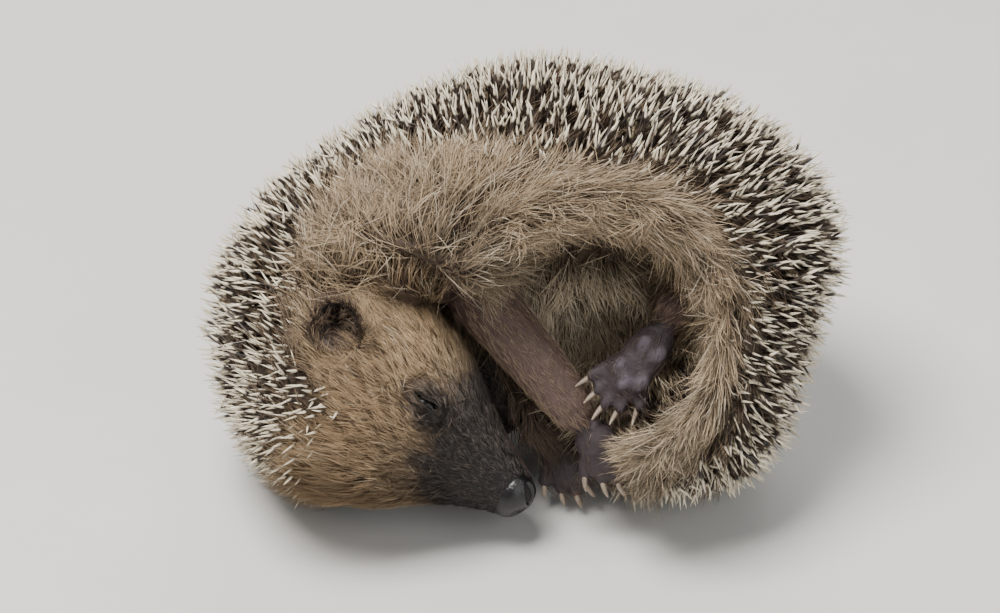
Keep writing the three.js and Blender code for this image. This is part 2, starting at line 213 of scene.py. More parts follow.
def on_ring(pts):
    """Each grid point's distance from the Y axis, and its way out along X and Z."""
    r = np.hypot(pts[:, 0], pts[:, 2])
    safe = np.where(r > 1e-9, r, 1)
    return r, pts[:, 0] / safe, pts[:, 2] / safe


def outward(pts, faces):
    """Turns the faces outward by the sign of the volume."""
    vol = 0.0
    for f in faces:
        for k in range(1, len(f) - 1):
            vol += np.dot(pts[f[0]], np.cross(pts[f[k]], pts[f[k + 1]]))
    return [f[::-1] for f in faces] if vol < 0 else faces


def blob(centre, radii, axes=None, around=24, rows=16):
    pts, faces = sphere_grid(around, rows)
    axes = np.eye(3) if axes is None else np.array([unit(a) for a in axes])
    placed = np.asarray(centre) + (pts * np.asarray(radii)) @ axes
    return placed, outward(placed - placed.mean(0), faces)


def bezier_line(points, t):
    """Smooth line through points (Catmull-Rom)."""
    p = np.asarray(points, float)
    p = np.vstack([2 * p[0] - p[1], p, 2 * p[-1] - p[-2]])
    x = np.clip(t, 0, 1) * (len(p) - 3)
    i = np.minimum(x.astype(int), len(p) - 4)
    f = (x - i)[:, None]
    a, b, c, d = p[i], p[i + 1], p[i + 2], p[i + 3]
    return b + 0.5 * f * (c - a + f * (2 * a - 5 * b + 4 * c - d + f * (3 * (b - c) + d - a)))


def tube(points, radii, up=(0, 0, 1), around=20, rows=24, round_end=0.2, flatten=1.0):
    pts, faces = sphere_grid(around, rows)
    t = (1 - pts[:, 1]) / 2
    mid = bezier_line(points, t)
    ahead, behind = np.clip(t + 0.01, 0, 1), np.clip(t - 0.01, 0, 1)
    along = unit(bezier_line(points, ahead) - bezier_line(points, behind))
    side = unit(np.cross(along, np.asarray(up, float)))
    top = np.cross(side, along)
    end = np.minimum(t, 1 - t)
    cap = np.sqrt(np.clip(1 - (1 - np.minimum(end / round_end, 1)) ** 2, 0, 1))
    _, x, z = on_ring(pts)
    r = np.interp(t, np.linspace(0, 1, len(radii)), radii) * cap
    placed = mid + side * (x * r)[:, None] + top * (z * r * flatten)[:, None]
    placed[0], placed[-1] = mid[0], mid[-1]
    return placed, outward(placed - placed.mean(0), faces)


def merged(shapes):
    pts, faces, base = [], [], 0
    for p, f in shapes:
        pts.append(p)
        faces += [tuple(i + base for i in x) for x in f]
        base += len(p)
    return np.vstack(pts), faces


def make_mesh(name, world_points, faces):
    me = bpy.data.meshes.new(name)
    me.from_pydata([tuple(p) for p in world_points], [], [tuple(f) for f in faces])
    me.update()
    return me


def make_object(name, me):
    ob = bpy.data.objects.new(name, me)
    bpy.context.scene.collection.objects.link(ob)
    return ob


def make_piece(name, points, faces):
    return make_object(name, make_mesh(name, to_world(points), faces))


def with_modifier(me, kind, **settings):
    """The mesh after one modifier."""
    ob = make_object("work", me)
    mod = ob.modifiers.new("work", kind)
    for key, value in settings.items():
        setattr(mod, key, value)
    dg = bpy.context.evaluated_depsgraph_get()
    out = bpy.data.meshes.new_from_object(ob.evaluated_get(dg))
    bpy.data.objects.remove(ob)
    return out


def values_of(items, key, width, kind=float):
    out = np.empty(len(items) * width, dtype=kind)
    items.foreach_get(key, out)
    return out.reshape(-1, width)


def coords(me):
    return values_of(me.vertices, "co", 3)


def normals(me):
    return values_of(me.vertices, "normal", 3)


def set_coords(me, co):
    me.vertices.foreach_set("co", np.ascontiguousarray(co, dtype=float).ravel())
    me.update()


def faces_of(me):
    return [tuple(p.vertices) for p in me.polygons]


def smooth(me):
    me.polygons.foreach_set("use_smooth", np.ones(len(me.polygons), dtype=bool))


def edges_of(me):
    return values_of(me.edges, "vertices", 2, int)


def relax(co, edges, weight, times):
    """Moves each vertex towards the mean of its neighbours."""
    n = len(co)
    count = np.bincount(edges.ravel(), minlength=n).clip(1)[:, None]
    for _ in range(times):
        total = np.zeros_like(co)
        for k in range(3):
            total[:, k] = (np.bincount(edges[:, 0], co[edges[:, 1], k], n)
                           + np.bincount(edges[:, 1], co[edges[:, 0], k], n))
        co = co + (total / count - co) * weight
    return co


# Skin, first stage: the body masses joined, rounded and drawn in by the depth of the coat
BODY_NODES = ["neck", "shoulders", "trunk", "rump", "belly", "head", "snout", "jaw", "tail"]
LIMB_NODES = ["foreleg_left", "foreleg_right", "hindleg_left", "hindleg_right",
              "forepaw_left", "forepaw_right", "hindfoot_left", "hindfoot_right"]


def coat_depth(q):
    quilled = step(2.5, -4.5, fur_margin(q, 1.0))
    depth = mix(FLANK_DEPTH, QUILL_DEPTH, quilled)
    depth = mix(depth, BOWL_DEPTH, bowl_weight(q) * (1 - quilled))
    back = head_coords(q)[0]
    return mix(depth, mix(FACE_DEPTH, NAPE_DEPTH, step(20, 46, back)), face_weight(q) * (1 - quilled))


def body_core():
    """The body's solids as one rounded form, drawn in by the coat, and their outside before that."""
    shapes = []
    for node in BODY_NODES:
        me = frame["nodes"][node].data
        pts = coords(me) + normals(me) * 0.3 * MM
        shapes.append((pts, faces_of(me)))
    joined = make_mesh("core", *merged(shapes))
    core = with_modifier(joined, "REMESH", mode="VOXEL", voxel_size=CORE_VOXEL)
    outside = BVHTree.FromPolygons([tuple(p) for p in coords(core)], faces_of(core))
    edges = edges_of(core)
    co = relax(coords(core), edges, 0.5, 30)
    want = coat_depth(to_lying(co)) * MM
    rounds = 20
    for _ in range(rounds):
        set_coords(core, co)
        co = relax(co - normals(core) * (want / rounds)[:, None], edges, 0.35, 1)
    set_coords(core, co)
    return core, outside


# Half sizes of the bare head by distance behind the nose: forehead side, throat side, left, right.
HEAD_SKIN = np.array([
    [0.0, 0.3, 0.3, 0.3, 0.3],
    [0.8, 3.2, 2.5, 2.7, 2.7],
    [3.0, 4.9, 3.8, 4.1, 4.0],
    [6.0, 6.1, 4.9, 5.2, 5.0],
    [11.0, 8.4, 7.0, 7.4, 6.8],
    [16.0, 11.3, 9.6, 9.9, 8.9],
    [22.0, 15.3, 12.9, 13.4, 11.4],
    [28.0, 19.0, 15.6, 16.3, 13.4],
    [36.0, 21.6, 18.0, 18.9, 15.0],
    [46.0, 21.8, 17.8, 19.6, 15.6],
    [53.0, 17.0, 15.0, 15.6, 12.6],
    [57.0, 10.5, 9.5, 9.5, 7.6],
    [60.0, 0.4, 0.4, 0.4, 0.4],
])


def head_skin():
    pts, faces = sphere_grid(72, 64)
    back = HEAD_LENGTH * ((1 - pts[:, 1]) / 2) ** 0.8
    low, high, left, right = (np.interp(back, HEAD_SKIN[:, 0], HEAD_SKIN[:, k]) for k in range(1, 5))
    _, cos, sin = on_ring(pts)
    square = 0.88
    p = np.sign(cos) * np.abs(cos) ** square * np.where(cos > 0, high, low)
    c = np.sign(sin) * np.abs(sin) ** square * np.where(sin > 0, left, right)
    placed = NOSE_TIP - MUZZLE * back[:, None] + P_AXIS * p[:, None] + C_AXIS * c[:, None]
    return placed, outward(placed - placed.mean(0), faces)


def side_point(back, left, crown):
    return NOSE_TIP - MUZZLE * back + LEFT * left + CROWN * crown


def eye_place(side):
    return head_point(EYE_BACK, 3.4, 14.6) if side > 0 else head_point(EYE_BACK, -15.0, -6.6)


def eye_out(side):
    p, c = (0.12, 0.99) if side > 0 else (-0.86, -0.5)
    return unit(P_AXIS * p + C_AXIS * c)


def slit_distance(q, height, low=0.0, high=0.0, behind=0.0):
    """Distance from a line along the nearer eye's slit, more by behind at its back corner."""
    best = np.full(len(q), 99.0)
    for side in (1, -1):
        rel = q - eye_place(side) - eye_out(side) * height
        along = rel @ MUZZLE
        gap = np.linalg.norm(rel - np.clip(along, low, high)[:, None] * MUZZLE, axis=1)
        best = np.minimum(best, gap + behind * np.clip(-along, 0, 9))
    return best


# Feet: heel, end of the toes, the way the sole looks, sole length, half width, half depth, claw.
FEET = {
    "hindfoot_left": ((25.5, -9.0, 14.5), (14.2, -22.6, 15.5), (0.15, 0.1, 1), 15, 4.4, 2.9, 3.6),
    "forepaw_left": ((10.6, -26.6, 12), (16.4, -37.6, 9.5), (0.3, 0.1, -1), 9.5, 4.3, 2.8, 3.4),
    "hindfoot_right": ((34, -16.5, 4.5), (20.6, -26.5, 7.5), (0.1, 0.3, 1), 14.5, 4.3, 2.9, 3.4),
    "forepaw_right": ((4.6, -29.5, -0.5), (8.6, -39.6, -3.0), (0.3, 0.1, -1), 9, 4.1, 2.7, 3.0),
}


class Foot:
    def __init__(self, heel, tip, face, sole, wide, thick, claw):
        self.heel = np.array(heel, float)
        self.forward = unit(np.array(tip, float) - self.heel)
        self.side = unit(np.cross(face, self.forward))
        self.face = unit(np.cross(self.forward, self.side))
        self.sole, self.wide, self.thick, self.claw = sole, wide, thick, claw
        self.axes = np.array([self.forward, self.side, self.face])

    def at(self, along, across, out):
        return self.heel + self.forward * along + self.side * across + self.face * out

    def toes(self):
        for k in (-2, -1, 0, 1, 2):
            yield ((self.sole * 0.82 - abs(k) * 1.1, k * 1.7),
                   (self.sole + 4.4 - abs(k) * 1.3 - (1.2 if k == 2 else 0), k * 2.75))

    def shapes(self):
        s, w, t = self.sole, self.wide, self.thick
        yield blob(self.at(s * 0.5, 0, 0), (s * 0.57, w * 0.96, t * 0.94), self.axes)
        yield blob(self.at(s * 0.84, 0, 0.2), (3.3, w * 1.04, t * 0.85), self.axes)
        for a, b in self.toes():
            knuckle = self.at((a[0] + b[0]) / 2, (a[1] + b[1]) / 2, 0.25)
            yield tube([self.at(*a, 0), knuckle, self.at(*b, -0.2)],
                       [1.45, 1.3, 1.25, 1.2, 1.0], self.face, 14, 12, 0.3)
            yield blob(self.at(b[0] - 1.3, b[1] * 0.97, 0.55), (1.45, 1.1, 0.95), self.axes, 14, 10)
        for across, along in ((-2.6, 0.74), (0.0, 0.86), (2.6, 0.74)):
            yield blob(self.at(s * along, across, t * 0.72), (2.3, 1.7, 1.0), self.axes, 16, 12)
        for across in (-1.7, 1.8):
            yield blob(self.at(s * 0.34, across, t * 0.74), (2.4, 1.7, 0.9), self.axes, 16, 12)


# Legs: the middle line and the radii along it.
HINDLEG_RADII = [4.1, 4.6, 5.4, 6.2, 6.8]
LEGS = {
    "foreleg_left": ([(-14, 2, 11), (-6.5, -6.2, 14), (2.2, -16.6, 13.4), (10.8, -27.4, 12)],
                     [6.2, 5.8, 5.3, 4.8, 4.3]),
    "foreleg_right": ([(-9, -3, -4), (-4.4, -11, -2), (0.6, -20.8, -0.6), (4.8, -30, -0.6)],
                      [6.0, 5.4, 5.0, 4.4, 4.0]),
    "hindleg_left": ([(24.6, -8.2, 14), (29, -3.4, 11.4), (33.6, 2.6, 6.5), (36, 8, 1)], HINDLEG_RADII),
    "hindleg_right": ([(33.2, -15.8, 4.0), (37, -13, -1), (40, -9, -7), (41, -4, -13)], HINDLEG_RADII),
}
feet = {name: Foot(*spec) for name, spec in FEET.items()}

# Ears: middle, the way they open, the way they stand up, and which side they are on.
EARS = {"left": ((-35.6, -9.4, 30.2), (-0.25, -0.1, 1), (-0.1, -1, 0), 1.0),
        "right": ((-45, -19.6, -24.2), (-0.4, -0.3, -1), (-0.7, 0.4, 0.2), -1.0)}


def ear_frame(name):
    centre, out, rise, hand = EARS[name]
    out = unit(out)
    rise = unit(np.array(rise) - out * np.dot(rise, out))
    return np.array(centre), np.cross(rise, out) * hand, rise, out


def ear_radius(q, name):
    """Distance from the ear's axis as a share of its outline."""
    centre, across, rise, out = ear_frame(name)
    rel = q - centre
    u, v, w = rel @ across, rel @ rise, rel @ out
    far = (np.abs(w) > 12) * 5
    return np.hypot(u / EAR_HALF_WIDTH, v / np.where(v > 0, EAR_ABOVE, EAR_BELOW)) + far


def limb_distance(q):
    """Distance from each point to the nearest bare limb's surface, roughly."""
    best = np.full(len(q), 1e9)
    for points, radii in LEGS.values():
        t = np.linspace(0.0, 1, 25)
        line = bezier_line(points, t)
        r = np.interp(t, np.linspace(0, 1, len(radii)), radii)
        d = np.linalg.norm(q[:, None] - line[None], axis=2) - r
        best = np.minimum(best, d.min(1))
    for f in feet.values():
        for along in np.linspace(0, f.sole + 4, 9):
            rel = (q - f.at(along, 0, 0)) @ f.axes.T
            d = np.hypot(np.hypot(rel[:, 0] / 2.5, rel[:, 1] / (f.wide + 2.2)), rel[:, 2] / (f.thick + 0.8))
            best = np.minimum(best, (d - 1) * 3)
    return best


def build_skin():
    core, outside = body_core()
    jaw = tube([side_point(6.5, 0, -3.4), side_point(13, 0, -6.4), side_point(21, 0, -10.4),
                side_point(30, 0, -14.4)], [2.0, 3.0, 4.2, 5.0], CROWN, 24, 20, 0.25, 0.6)
    nape = blob((-29, 3, 12), (17, 11, 13.5), around=40, rows=28)
    throat = blob((-9, -15, -10), (13, 15.5, 13.5), around=40, rows=28)
    parts = [head_skin(), jaw, nape, throat]
    for side in (1, -1):
        parts.append(blob(eye_place(side) + eye_out(side) * 0.05, (3.9, 3.7, 3.55),
                          [MUZZLE, np.cross(eye_out(side), MUZZLE), eye_out(side)], 32, 20))
    for points, radii in LEGS.values():
        parts.append(tube(points, radii, around=28, rows=30))
    for f in feet.values():
        parts += list(f.shapes())
    tail = [(25, -35.5, -7), (20, -38, -7.5), (13.5, -38.4, -8)]
    parts.append(tube(tail, [2.9, 2.3, 1.8, 1.1], around=16))
    pts, faces = merged(parts)
    joined = make_mesh("joined", *merged([(coords(core), faces_of(core)), (to_world(pts), faces)]))
    skin = with_modifier(joined, "REMESH", mode="VOXEL", voxel_size=SKIN_VOXEL)
    co = relax(coords(skin), edges_of(skin), 0.5, 3)
    q = to_lying(co)
    calm = step(2.0, 5.0, limb_distance(q)) * step(0.9, 0.3, face_weight(q))
    co = relax(co, edges_of(skin), (0.5 * calm)[:, None], 14)
    set_coords(skin, co)
    return skin, outside


# Skin, second stage: fewer faces under the quills, more round the eyes and lips, then lids
# and the line of the mouth
def refine_near(me, near, cuts=1):
    """Cuts the faces finer wherever near(points) is true."""
    bm = bmesh.new()
    bm.from_mesh(me)
    pts = to_lying(np.array([v.co for v in bm.verts]))
    hit = near(pts)
    bm.verts.ensure_lookup_table()
    cut = [e for e in bm.edges if hit[e.verts[0].index] and hit[e.verts[1].index]]
    bmesh.ops.subdivide_edges(bm, edges=cut, cuts=cuts, use_grid_fill=True, smooth=0.0)
    bmesh.ops.triangulate(bm, faces=[f for f in bm.faces if len(f.verts) > 4])
    bm.to_mesh(me)
    bm.free()
    return me


def lip_offset(q):
    """Distance round the muzzle from the line of the mouth, and how far along it the mouth is open."""
    rel = q - NOSE_TIP
    back = -(rel @ MUZZLE)
    left, crown = rel @ LEFT, rel @ CROWN
    turn = np.degrees(np.arctan2(crown, np.abs(left)))
    lip = np.interp(back, [2.0, 4, 9, 14, 20], [-80, -58, -50, -47, -44])
    around = np.hypot(left, crown)
    length = step(2.0, 4.0, back) * step(MOUTH_END, 18.0, back) * step(18, 16, around)
    return np.radians(turn - lip) * around, length


def near_features(reach, band):
    """A test for points within reach of an eye or within the band along the mouth."""
    def test(q):
        off, length = lip_offset(q)
        return (slit_distance(q, 2.5) < reach) | ((length > 0) & (np.abs(off) < band))
    return test


def shape_face(me):
    """Cuts the slits between the lids, the seats of the ears and the line between the lips."""
    q = to_lying(coords(me))
    edges = edges_of(me)
    for side in (1, -1):
        rel = q - eye_place(side)
        out = eye_out(side)
        up = unit(np.cross(out, MUZZLE)) * (1 if side > 0 else -1)
        u, v, w = rel @ MUZZLE, rel @ up, rel @ out
        front = step(-0.5, 1.0, w)
        bow = 0.55 * (1 - (u / 4.4) ** 2) - 0.25
        half = 0.5 * np.sqrt(np.clip(1 - (u / SLIT_REACH) ** 2, 0, 1)) * mix(0.75, 1.2, step(-3, 4, u))
        s = np.abs(v - bow) / np.maximum(half, 0.05)
        inside = step(1.25, 0.85, s) * (np.abs(u) < SLIT_REACH) * front * (half > 0.06)
        reach = np.clip(1 - (np.abs(u) / 6.0) ** 2, 0, 1)
        rim = bell(np.abs(v - bow) - half - 0.42, 0.42) * reach * front
        crease = bell(np.abs(v - bow * 1.5) - 2.5, 0.45) * reach * front
        q = q + out * (0.34 * rim - 0.32 * crease)[:, None]
        q = q + out * (np.minimum(0, 1.5 - w) * inside)[:, None]
    for name in EARS:
        centre, _, _, out = ear_frame(name)
        w = (q - centre) @ out
        radius = ear_radius(q, name)
        deep = -4.6 - 4.2 * step(1.0, 0.5, radius)
        q = q + out * (np.minimum(0, deep - w) * step(0.99, 0.9, radius) * (w > -11))[:, None]
    off, length = lip_offset(q)
    rel = q - NOSE_TIP
    away = unit(rel - (rel @ MUZZLE)[:, None] * MUZZLE)
    groove = bell(off, 0.42) * length
    lips = bell(np.abs(off) - 0.95, 0.5) * length
    q = q + away * (0.22 * lips - 0.85 * groove)[:, None]
    co = to_world(relax(q, edges, 0.25, 1))
    co[:, 2] = np.maximum(co[:, 2], SKIN_CLEAR_OF_FLOOR)
    set_coords(me, co)
    return groove, lips


skin_mesh, outside = build_skin()
skin_mesh = with_modifier(skin_mesh, "DECIMATE", ratio=SKIN_KEPT)
skin_mesh = refine_near(skin_mesh, near_features(6.5, 2.6))
skin_mesh = refine_near(skin_mesh, near_features(5.2, 1.5))
groove, lips = shape_face(skin_mesh)
skin_mesh.name = "skin"
skin = make_object("skin", skin_mesh)
smooth(skin_mesh)


# Unwrap of the skin
def unwrap(ob):
    bpy.context.view_layer.objects.active = ob
    for other in bpy.context.scene.objects:
        other.select_set(other is ob)
    bpy.ops.object.mode_set(mode="EDIT")
    bpy.ops.mesh.select_all(action="SELECT")
    bpy.ops.uv.smart_project(angle_limit=math.radians(80), island_margin=0.002)
    bpy.ops.object.mode_set(mode="OBJECT")
    ob.data.uv_layers.active.name = "OFBake"


unwrap(skin)


# Colours shared by skin and coat
def paint(r, g, b):
    """A linear colour from the values a screen shows."""
    c = np.array([r, g, b]) / 255
    return np.where(c <= 0.04045, c / 12.92, ((c + 0.055) / 1.055) ** 2.4)


# zone: colour at the skin, colour at the hair's tip
COLOURS = {
    "quilled": (paint(62, 50, 40), paint(112, 92, 70)),
    "flank": (paint(62, 49, 38), paint(190, 165, 133)),
    "face": (paint(80, 63, 48), paint(172, 145, 110)),
    "muzzle": (paint(24, 20, 19), paint(66, 57, 51)),
    "belly": (paint(112, 96, 79), paint(212, 192, 162)),
    "limb": (paint(84, 67, 62), paint(156, 133, 110)),
    "paw": (paint(58, 50, 52), paint(104, 88, 76)),
}


def ripple(q, size, seed=0.0):
    """Slow, even variation between -1 and 1."""
    s = q / size
    return (np.sin(s[:, 0] * 1.7 + s[:, 1] * 2.3 + seed)
            + np.sin(s[:, 1] * 1.9 - s[:, 2] * 2.1 + seed * 2.3)
            + np.sin(s[:, 2] * 1.6 + s[:, 0] * 2.6 + seed * 3.1)) / 3


def paw_distance(q):
    """Distance from the middle of the nearest foot as a share of its size."""
    best = np.full(len(q), 1e9)
    for f in feet.values():
        rel = (q - f.at(f.sole * 0.62, 0, 0)) @ f.axes.T
        d = np.linalg.norm(rel / [f.sole * 0.66, f.wide + 3, f.thick + 2.6], axis=1)
        best = np.minimum(best, d)
    return best


def zones(q):
    """Shares of each zone at the points, adding up to one."""
    back = head_coords(q)[0]
    limb = step(1.6, 0.2, limb_distance(q))
    paw = step(1.15, 0.95, paw_distance(q)) * limb
    quilled = step(1.6, -1.6, fur_margin(q) + 1.6 * ripple(q, 3.0)) * (1 - limb)
    face = face_weight(q) * (1 - quilled) * (1 - limb)
    rel = q - NOSE_TIP
    turn = np.degrees(np.arctan2(rel @ CROWN, rel @ LEFT))
    edge = np.interp(turn, [-180, -150, -90, 0, 60, 90, 130, 180], [12, 18, 22, 24.5, 23.5, 19, 12, 12])
    edge = edge + 2.0 * ripple(q, 2.2, 1.0)
    eyes = slit_distance(q, 1.0, -2.5, 6.0, 0.45)
    dark = np.maximum(step(edge + 4.0, edge - 3.0, back), 0.95 * step(5.0, 2.4, eyes))
    dark = np.maximum(dark, 0.4 * step(edge + 11, edge, back))
    muzzle = face * dark
    belly = bowl_weight(q) * (1 - quilled) * (1 - face) * (1 - limb)
    flank = np.clip(1 - limb - quilled - face - belly, 0, 1)
    out = {"quilled": quilled, "flank": flank, "face": face - muzzle, "muzzle": muzzle,
           "belly": belly, "limb": limb - paw, "paw": paw}
    total = sum(out.values())
    return {k: v / np.maximum(total, 1e-6) for k, v in out.items()}


def zone_colour(shares, tip):
    return sum(w[:, None] * COLOURS[k][tip][None] for k, w in shares.items())


skin_q = to_lying(coords(skin_mesh))
skin_zones = zones(skin_q)
tint = zone_colour(skin_zones, 0)
pink = paint(136, 98, 92)
tint = mix(tint, pink, (lips * 0.7)[:, None])
tint = mix(tint, paint(20, 16, 15), np.clip(groove * 1.2, 0, 1)[:, None])
for side in (1, -1):
    rel = skin_q - eye_place(side) - eye_out(side) * 2.6
    near = np.exp(-((rel @ MUZZLE) / 4.6) ** 2 - (np.linalg.norm(np.cross(rel, MUZZLE), axis=1) / 2.1) ** 2)
    tint = mix(tint, paint(16, 13, 12), np.clip(near * 1.3, 0, 0.95)[:, None])
for f in feet.values():
    rel = (skin_q - f.heel) @ f.axes.T
    beside = (rel[:, 0] > 2) * (rel[:, 0] < f.sole + 3) * (np.abs(rel[:, 1]) < f.wide + 1)
    pad = step(f.thick * 0.86, f.thick * 1.1, rel[:, 2]) * beside * (rel[:, 2] < f.thick + 3)
    tint = mix(tint, paint(88, 80, 88), pad[:, None])


def add_tint(me, colour):
    layer = me.color_attributes.new("Tint", "FLOAT_COLOR", "POINT")
    rgba = np.ones((len(me.vertices), 4))
    rgba[:, :3] = colour
    layer.data.foreach_set("color", rgba.ravel())


add_tint(skin_mesh, tint)

# Where hairs and quills are rooted
skin_mesh.calc_loop_triangles()
count = len(skin_mesh.loop_triangles)
tri = values_of(skin_mesh.loop_triangles, "vertices", 3, int)
loops = values_of(skin_mesh.loop_triangles, "loops", 3, int)
flat_uv = values_of(skin_mesh.uv_layers["OFBake"].data, "uv", 2)
corner = skin_q[tri]
area = np.linalg.norm(np.cross(corner[:, 1] - corner[:, 0], corner[:, 2] - corner[:, 0]), axis=1) / 2
skin_n = normals(skin_mesh) @ BASIS.T
middle = corner.mean(1)
middle_zones = zones(middle)


class Roots:
    """Places on the skin, the way it faces there and their places on its unwrap."""

    def __init__(self, q, n, uv):
        self.q, self.n, self.uv = q, n, uv


def scatter(density):
    """Roots spread over the skin, as many per square millimetre as density says."""
    share = area * density
    number = int(share.sum())
    chosen = RNG.choice(count, number, p=share / share.sum())
    r1, r2 = np.sqrt(RNG.random(number)), RNG.random(number)
    w = np.stack([1 - r1, r1 * (1 - r2), r1 * r2], 1)[:, :, None]
    return Roots((skin_q[tri[chosen]] * w).sum(1), unit((skin_n[tri[chosen]] * w).sum(1)),
                 (flat_uv[loops[chosen]] * w).sum(1))


def thinned(roots, gap):
    """The roots without each one that is too near one already taken."""
    taken, cells = [], {}
    for i, p in enumerate(roots.q):
        cell = tuple((p // gap).astype(int))
        near = [j for step_by in NEIGHBOURS for j in cells.get(tuple(np.add(cell, step_by)), ())]
        if all(((roots.q[j] - p) ** 2).sum() >= gap * gap for j in near):
            taken.append(i)
            cells.setdefault(cell, []).append(i)
    return Roots(roots.q[taken], roots.n[taken], roots.uv[taken])


def limb_lie(q):
    """The way down the nearest leg."""
    best = np.full(len(q), 1e9)
    lie = np.zeros((len(q), 3))
    for name, (points, _) in LEGS.items():
        t = np.linspace(0, 1, 13)
        line = bezier_line(points, t)
        along = unit(np.gradient(line, axis=0)) * (1 if name.startswith("fore") else -1)
        d = np.linalg.norm(q[:, None] - line[None], axis=2)
        i = d.argmin(1)
        d = d[np.arange(len(q)), i]
        lie[d < best] = along[i][d < best]
        best = np.minimum(best, d)
    return lie


def coat_lie(q, n, shares):
    """The way the hair lies along the skin."""
    radial, caudal = round_pole(q)
    flank = 0.8 * caudal + radial * mix(-0.6, 0.45, step(24, 42, flat_distance(q, POLE)))[:, None]
    out = q - NOSE_TIP
    away = out - (out @ MUZZLE)[:, None] * MUZZLE
    face = -MUZZLE + mix(0.35, 1.3, step(-4, -17, out @ P_AXIS))[:, None] * unit(away)
    belly = np.tile([0.12, -1.0, 0.1], (len(q), 1))
    lie = (flank * (shares["flank"] + shares["quilled"])[:, None]
           + face * (shares["face"] + shares["muzzle"])[:, None]
           + belly * shares["belly"][:, None]
           + limb_lie(q) * (shares["limb"] + shares["paw"])[:, None])
    lie = lie - (lie * n).sum(1, keepdims=True) * n
    return unit(lie)


def turned(lie, n, angle):
    side = np.cross(n, lie)
    return lie * np.cos(angle)[:, None] + side * np.sin(angle)[:, None]


# Hairs and quills as closed tapering strands, joined into a few meshes
def strand_mesh(name, patch, rings_at, uv, radii, spine, side, top, colour):
    """Rings along each spine, closed by a flat root and a point, at shares of the length."""
    n, r = spine.shape[0], spine.shape[1] - 1
    s = 4 if name.startswith("quill") else 3
    turn = np.arange(s) * 2 * math.pi / s
    ring = (side[:, :r, None] * np.cos(turn)[None, None, :, None]
            + top[:, :r, None] * np.sin(turn)[None, None, :, None]) * radii[:, :r, None, None]
    pts = (spine[:, :r, None] + ring).reshape(n, r * s, 3)
    pts = np.concatenate([pts, spine[:, r:]], 1)
    per = r * s + 1
    world = to_world(pts.reshape(-1, 3))
    lowest = (0.15 + 0.25 * RNG.random(len(world))) * MM
    world[:, 2] = np.maximum(world[:, 2], lowest)
    colours = np.concatenate([np.repeat(colour[:, :r], s, 1), colour[:, r:]], 1).reshape(-1, 3)
    faces = [(0, k + 1, k) for k in range(1, s - 1)]
    for k in range(r - 1):
        for j in range(s):
            a, b = k * s + j, k * s + (j + 1) % s
            faces += [(a, b, b + s), (a, b + s, a + s)]
    last = (r - 1) * s
    faces += [(last + j, last + (j + 1) % s, r * s) for j in range(s)]
    faces = np.array(faces)
    every = (faces[None] + (np.arange(n) * per)[:, None, None]).reshape(-1, 3)
    lo, hi = uv.min(0), uv.max(0)
    spot = PATCH_MARGIN + (uv - lo) / (hi - lo) * (1 - 2 * PATCH_MARGIN)
    u = (np.arange(s) / (s - 1) - 0.5) * TUFT_PATCH
    v = (np.array(rings_at) - 0.5) * patch
    place = np.stack([np.append(np.tile(u, r), 0.0), np.append(np.repeat(v[:r], s), v[r])], 1)
    corner_uv = (spot[:, None] + place[None]).reshape(-1, 2)[every.ravel()]
    me = bpy.data.meshes.new(name)
    me.vertices.add(len(world))
    me.vertices.foreach_set("co", world.ravel())
    me.loops.add(every.size)
    me.loops.foreach_set("vertex_index", every.ravel())
    me.polygons.add(len(every))
    me.polygons.foreach_set("loop_start", np.arange(len(every)) * 3)
    smooth(me)
    me.update(calc_edges=True)
    layer = me.uv_layers.new(name="OFBake")
    layer.data.foreach_set("uv", np.clip(corner_uv, 0.0005, 0.9995).ravel())
    add_tint(me, colours)
    return make_object(name, me)


def past_box(points):
    """How far points stand outside the box of the solids."""
    world = to_world(points)
    lo, hi = np.array(corners_at_start[0]), np.array(corners_at_start[1])
    return np.maximum(lo - world, world - hi)[:, :2].max(1) / MM


def past_surface(points):
    """How far points stand outside the body's solids; zero or less inside."""
    out = np.empty(len(points))
    for i, p in enumerate(to_world(points)):
        spot, normal, _, _ = outside.find_nearest(Vector(p))
        out[i] = (Vector(p) - spot).dot(normal) / MM
    return np.where(past_box(points) > HAIR_PAST_BOX, 99, out)


def spines(roots, lie, size, width_axis, t, lift, tip_lift, swirl, pull):
    """The middle line of each hair from its root, and the way it points at each ring."""
    spine = [roots.q - roots.n * 0.35]
    ways = []
    for k in range(len(t)):
        at = t[k] if k == 0 else (t[k] + t[k - 1]) / 2
        up = mix(lift, tip_lift, at)
        around = swirl * at
        way = ((lie * np.cos(around)[:, None] + width_axis * np.sin(around)[:, None]) * np.cos(up)[:, None]
               + roots.n * np.sin(up)[:, None])
        ways.append(way)
        if k:
            spine.append(spine[-1] + way * (size * (t[k] - t[k - 1]))[:, None] + pull * (t[k] - t[k - 1]))
    return np.stack(spine, 1), np.stack(ways, 1)


def uniform(n, low, high):
    return low + (high - low) * RNG.random(n)


def nearest(points, centres):
    tree = KDTree(len(centres))
    for i, p in enumerate(centres):
        tree.insert(p, i)
    tree.balance()
    return np.array([tree.find(p)[1] for p in points])


coat = []


def add_strands(name, pieces, patch, rings_at, *each):
    """The strands dealt out over some pieces of the coat."""
    for k in range(pieces):
        mine = [values[k::pieces] for values in each]
        coat.append(strand_mesh(f"{name}_{k + 1}" if pieces > 1 else name, patch, rings_at, *mine))


